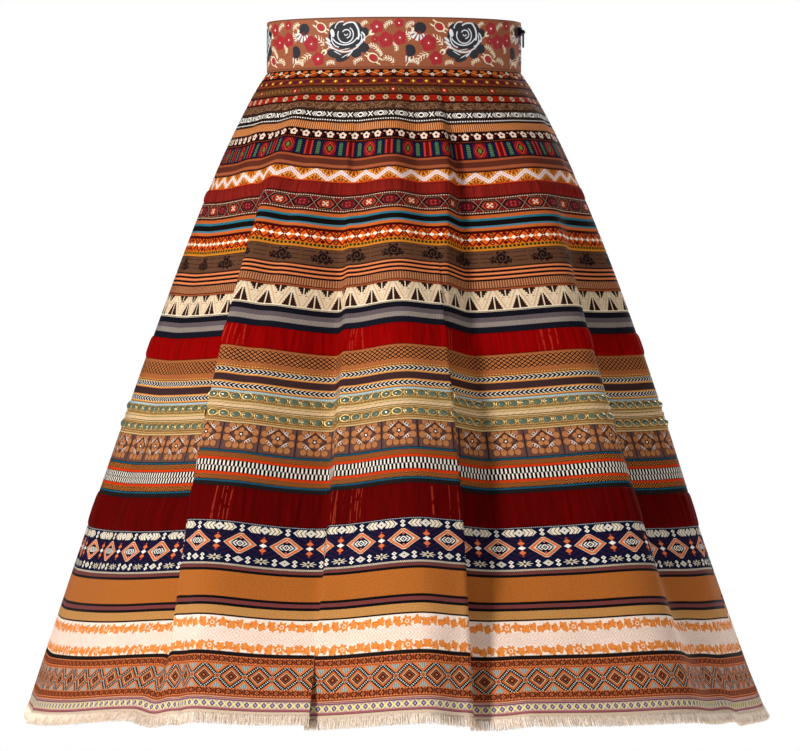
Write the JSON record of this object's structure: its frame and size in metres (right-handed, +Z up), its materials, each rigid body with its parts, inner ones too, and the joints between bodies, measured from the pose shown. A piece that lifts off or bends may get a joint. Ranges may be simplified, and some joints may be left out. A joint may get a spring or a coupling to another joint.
{
  "type": "ribbon skirt",
  "caption": "Flared midi skirt pieced edge to edge from horizontal woven ribbons, velvet bands and beaded braid, on a brocade waistband, with a fringed hem and a side zip.",
  "frame": {"origin": "centre of the waist opening, at half the waistband's height, where the wearer holds it up", "axes": "+Z up, -Y out of the skirt's front, +X to the wearer's left, where the zip is"},
  "size_m": [0.7982, 0.8227, 0.7455],
  "materials": {
    "floral_vine": "woven",
    "star_dots": "woven",
    "olive_sprig": "woven",
    "red_rosettes": "woven",
    "brown_fleck": "woven",
    "black_leaf": "woven",
    "orange_rib": "ribbed",
    "white_flowers": "woven",
    "totem_blocks": "woven",
    "brown_stripe": "woven",
    "white_zigzag": "woven",
    "velvet_narrow": "velvet",
    "medallions": "woven",
    "teal_stripe": "woven",
    "red_lattice": "woven",
    "black_flowers": "woven",
    "orange_lines": "woven",
    "cream_peaks": "woven",
    "grey_navy": "satin",
    "velvet_upper": "velvet",
    "honeycomb": "woven",
    "chevrons": "woven",
    "beads_upper": "beaded",
    "gold_cord": "metallic cord",
    "beads_lower": "beaded",
    "quatrefoils": "woven",
    "checks": "woven",
    "velvet_lower": "velvet",
    "navy_diamonds": "woven",
    "ochre_felt": "felted",
    "peach_flowers": "jacquard",
    "rust_tapestry": "tapestry",
    "yellow_cross": "woven",
    "waistband": "brocade",
    "hem_fringe": "brushed fringe",
    "zip_chain": "woven tape",
    "zip_slider": "dark enamel",
    "zip_pull": "dark enamel"
  },
  "bodies": {
    "skirt": {"floral_vine": "floral_vine", "star_dots": "star_dots", "olive_sprig": "olive_sprig", "red_rosettes": "red_rosettes", "brown_fleck": "brown_fleck", "black_leaf": "black_leaf", "orange_rib": "orange_rib", "white_flowers": "white_flowers", "totem_blocks": "totem_blocks", "brown_stripe": "brown_stripe", "white_zigzag": "white_zigzag", "velvet_narrow": "velvet_narrow", "medallions": "medallions", "teal_stripe": "teal_stripe", "red_lattice": "red_lattice", "black_flowers": "black_flowers", "orange_lines": "orange_lines", "cream_peaks": "cream_peaks", "grey_navy": "grey_navy", "velvet_upper": "velvet_upper", "honeycomb": "honeycomb", "chevrons": "chevrons", "beads_upper": "beads_upper", "gold_cord": "gold_cord", "beads_lower": "beads_lower", "quatrefoils": "quatrefoils", "checks": "checks", "velvet_lower": "velvet_lower", "navy_diamonds": "navy_diamonds", "ochre_felt": "ochre_felt", "peach_flowers": "peach_flowers", "rust_tapestry": "rust_tapestry", "yellow_cross": "yellow_cross", "waistband": "waistband", "hem_fringe": "hem_fringe", "zip_chain": "zip_chain", "zip_slider": "zip_slider"},
    "pull": {"zip_pull": "zip_pull"}
  },
  "joints": [
    {"name": "zip_pull_swing", "type": "hinge", "parent": "skirt", "child": "pull", "pos_m": [0.13772, -0.02118, 0.0165], "axis": [-0.2911, -0.9567, 0], "range_deg": [0, 150]}
  ]
}
